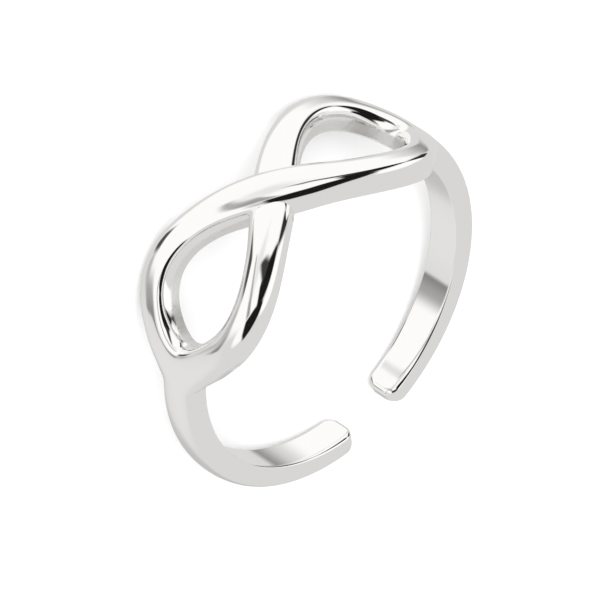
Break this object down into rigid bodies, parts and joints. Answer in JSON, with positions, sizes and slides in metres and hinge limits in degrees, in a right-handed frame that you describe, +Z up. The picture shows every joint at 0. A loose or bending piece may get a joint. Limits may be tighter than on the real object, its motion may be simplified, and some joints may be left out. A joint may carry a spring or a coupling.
{
  "type": "infinity ring",
  "caption": "Open cast finger ring with a domed figure of eight in front, rounded shoulders and a slim band whose rounded tips leave a gap at the back for fitting.",
  "frame": {"origin": "middle of the ring's outline on the surface that it lies on", "axes": "+Z up, close to the finger hole's axis, which leans 10 degrees towards +Y; -Y towards the figure of eight; +Y towards the gap at the back; +X to the loop that holds the lower end of the upper strand"},
  "size_m": [0.0198, 0.0196, 0.0076],
  "materials": {
    "polished_silver": "mirror polish, satin inside the loops"
  },
  "bodies": {
    "root": {"infinity_ring": "polished_silver"}
  },
  "joints": []
}
